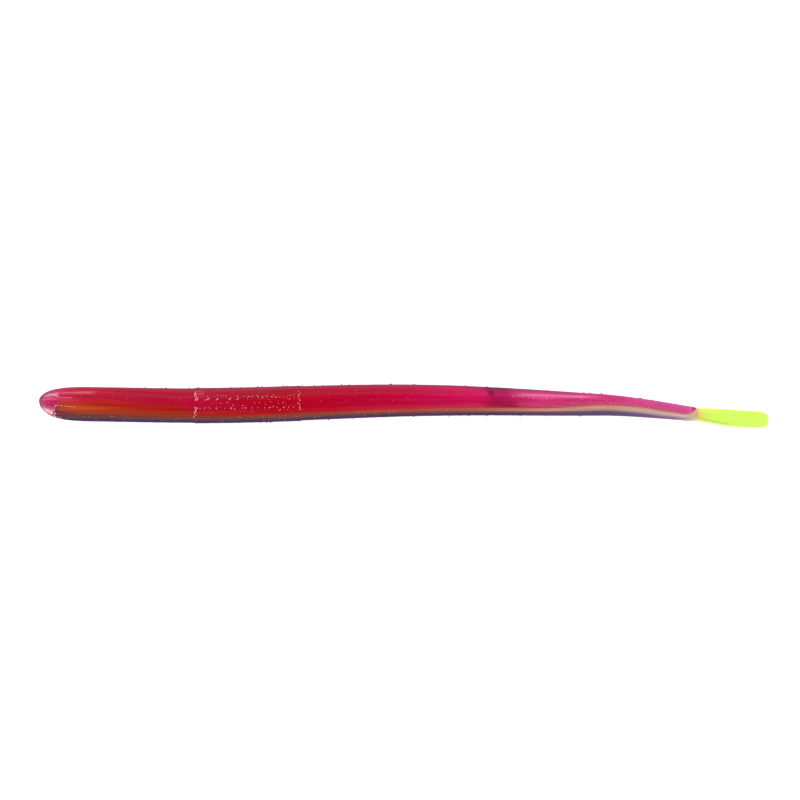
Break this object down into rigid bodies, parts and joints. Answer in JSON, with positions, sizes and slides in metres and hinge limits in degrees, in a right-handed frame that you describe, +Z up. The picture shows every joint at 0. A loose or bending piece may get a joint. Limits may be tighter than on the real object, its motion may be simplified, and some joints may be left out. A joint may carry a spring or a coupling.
{
  "type": "soft plastic worm",
  "caption": "Slim straight-tail soft fishing worm with a rounded nose, a faint collar, lengthwise colour layers and a thin flat tail, flexing along its length.",
  "frame": {"origin": "middle of the worm's length and width, on the flat face that it lies on", "axes": "+X from the nose towards the tail, +Y from the belly towards the back, +Z up from the resting face"},
  "size_m": [0.1524, 0.0092, 0.007],
  "materials": {
    "back_pour": "soft translucent plastisol, wet gloss",
    "stripe_pour": "soft milky plastisol, wet gloss",
    "belly_pour": "soft translucent plastisol, wet gloss",
    "heart_pour": "soft translucent plastisol, wet gloss",
    "tail_pour": "soft fluorescent plastisol, satin"
  },
  "bodies": {
    "nose": {"back_1": "back_pour", "stripe_1": "stripe_pour", "belly_1": "belly_pour", "heart_1": "heart_pour"},
    "body_2": {"back_2": "back_pour", "stripe_2": "stripe_pour", "belly_2": "belly_pour", "heart_2": "heart_pour"},
    "body_3": {"back_3": "back_pour", "stripe_3": "stripe_pour", "belly_3": "belly_pour", "heart_3": "heart_pour"},
    "body_4": {"back_4": "back_pour", "stripe_4": "stripe_pour", "belly_4": "belly_pour"},
    "body_5": {"back_5": "back_pour", "stripe_5": "stripe_pour", "belly_5": "belly_pour"},
    "body_6": {"back_6": "back_pour", "stripe_6": "stripe_pour", "belly_6": "belly_pour"},
    "body_7": {"back_7": "back_pour", "stripe_7": "stripe_pour", "belly_7": "belly_pour"},
    "body_8": {"back_8": "back_pour", "stripe_8": "stripe_pour", "belly_8": "belly_pour"},
    "body_9": {"back_9": "back_pour", "stripe_9": "stripe_pour", "belly_9": "belly_pour"},
    "body_10": {"back_10": "back_pour", "stripe_10": "stripe_pour", "belly_10": "belly_pour"},
    "body_11": {"back_11": "back_pour", "stripe_11": "stripe_pour", "belly_11": "belly_pour"},
    "tail_root": {"tail_root": "tail_pour"},
    "tail_tip": {"tail_tip": "tail_pour"}
  },
  "joints": [
    {"name": "flex_1_lift", "type": "hinge", "parent": "nose", "child": "body_2", "pos_m": [-0.06373, -0.0008, 0.0034], "axis": [0, -1, 0], "range_deg": [-35, 35], "stiffness_Nm_per_rad": 0.00089},
    {"name": "flex_2_side", "type": "hinge", "parent": "body_2", "child": "body_3", "pos_m": [-0.05126, -0.001, 0.0034], "axis": [0, 0, 1], "range_deg": [-35, 35], "stiffness_Nm_per_rad": 0.001},
    {"name": "flex_3_lift", "type": "hinge", "parent": "body_3", "child": "body_4", "pos_m": [-0.03878, -0.00104, 0.0035], "axis": [0, -1, 0], "range_deg": [-35, 35], "stiffness_Nm_per_rad": 0.001},
    {"name": "flex_4_side", "type": "hinge", "parent": "body_4", "child": "body_5", "pos_m": [-0.02631, -0.00075, 0.0035], "axis": [0, 0, 1], "range_deg": [-35, 35], "stiffness_Nm_per_rad": 0.0011},
    {"name": "flex_5_lift", "type": "hinge", "parent": "body_5", "child": "body_6", "pos_m": [-0.01384, -0.00032, 0.00334], "axis": [0, -1, 0], "range_deg": [-35, 35], "stiffness_Nm_per_rad": 0.00083},
    {"name": "flex_6_side", "type": "hinge", "parent": "body_6", "child": "body_7", "pos_m": [-0.00136, -0.00002, 0.00319], "axis": [0, 0, 1], "range_deg": [-35, 35], "stiffness_Nm_per_rad": 0.00077},
    {"name": "flex_7_lift", "type": "hinge", "parent": "body_7", "child": "body_8", "pos_m": [0.01111, -0.00002, 0.00296], "axis": [0, -1, 0], "range_deg": [-35, 35], "stiffness_Nm_per_rad": 0.00051},
    {"name": "flex_8_side", "type": "hinge", "parent": "body_8", "child": "body_9", "pos_m": [0.02358, -0.00033, 0.00265], "axis": [0, 0, 1], "range_deg": [-35, 35], "stiffness_Nm_per_rad": 0.00037},
    {"name": "flex_9_lift", "type": "hinge", "parent": "body_9", "child": "body_10", "pos_m": [0.03605, -0.00076, 0.00228], "axis": [0, -1, 0], "range_deg": [-35, 35], "stiffness_Nm_per_rad": 0.00018},
    {"name": "flex_10_side", "type": "hinge", "parent": "body_10", "child": "body_11", "pos_m": [0.04853, -0.00161, 0.00185], "axis": [0, 0, 1], "range_deg": [-35, 35], "stiffness_Nm_per_rad": 0.000089},
    {"name": "flex_11_lift", "type": "hinge", "parent": "body_11", "child": "tail_root", "pos_m": [0.061, -0.00304, 0.00135], "axis": [0, -1, 0], "range_deg": [-45, 45], "stiffness_Nm_per_rad": 0.000037},
    {"name": "flex_12_lift", "type": "hinge", "parent": "tail_root", "child": "tail_tip", "pos_m": [0.0686, -0.00377, 0.0007], "axis": [0, -1, 0], "range_deg": [-60, 60], "stiffness_Nm_per_rad": 0.0000065}
  ]
}
